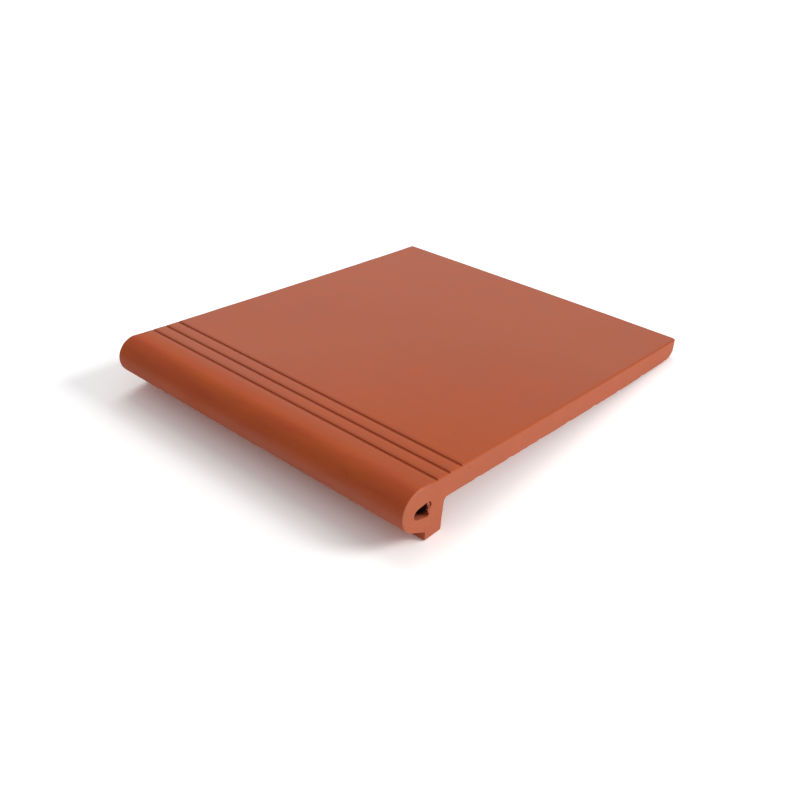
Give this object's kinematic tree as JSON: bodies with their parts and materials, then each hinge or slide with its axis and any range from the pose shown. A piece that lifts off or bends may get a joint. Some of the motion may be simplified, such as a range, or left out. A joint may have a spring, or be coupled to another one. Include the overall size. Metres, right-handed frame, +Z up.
{
  "type": "stair tread tile",
  "caption": "Fired clay stair tread tile with a round hollow nosing, a drip leg on the riser side and fine anti-slip grooves.",
  "frame": {"origin": "on the floor, below the middle of the tile as it lies at rest", "axes": "+X along the nosing, +Y from the nosing back to the rear edge, +Z up from the floor; the plate slopes down to the rear by 4.9 degrees because it lies on its leg's foot and its rear heel"},
  "size_m": [0.3, 0.3486, 0.044],
  "materials": {
    "terracotta": "unglazed, fired matt with a faint skin sheen"
  },
  "bodies": {
    "root": {"tread_tile": "terracotta"}
  },
  "joints": []
}
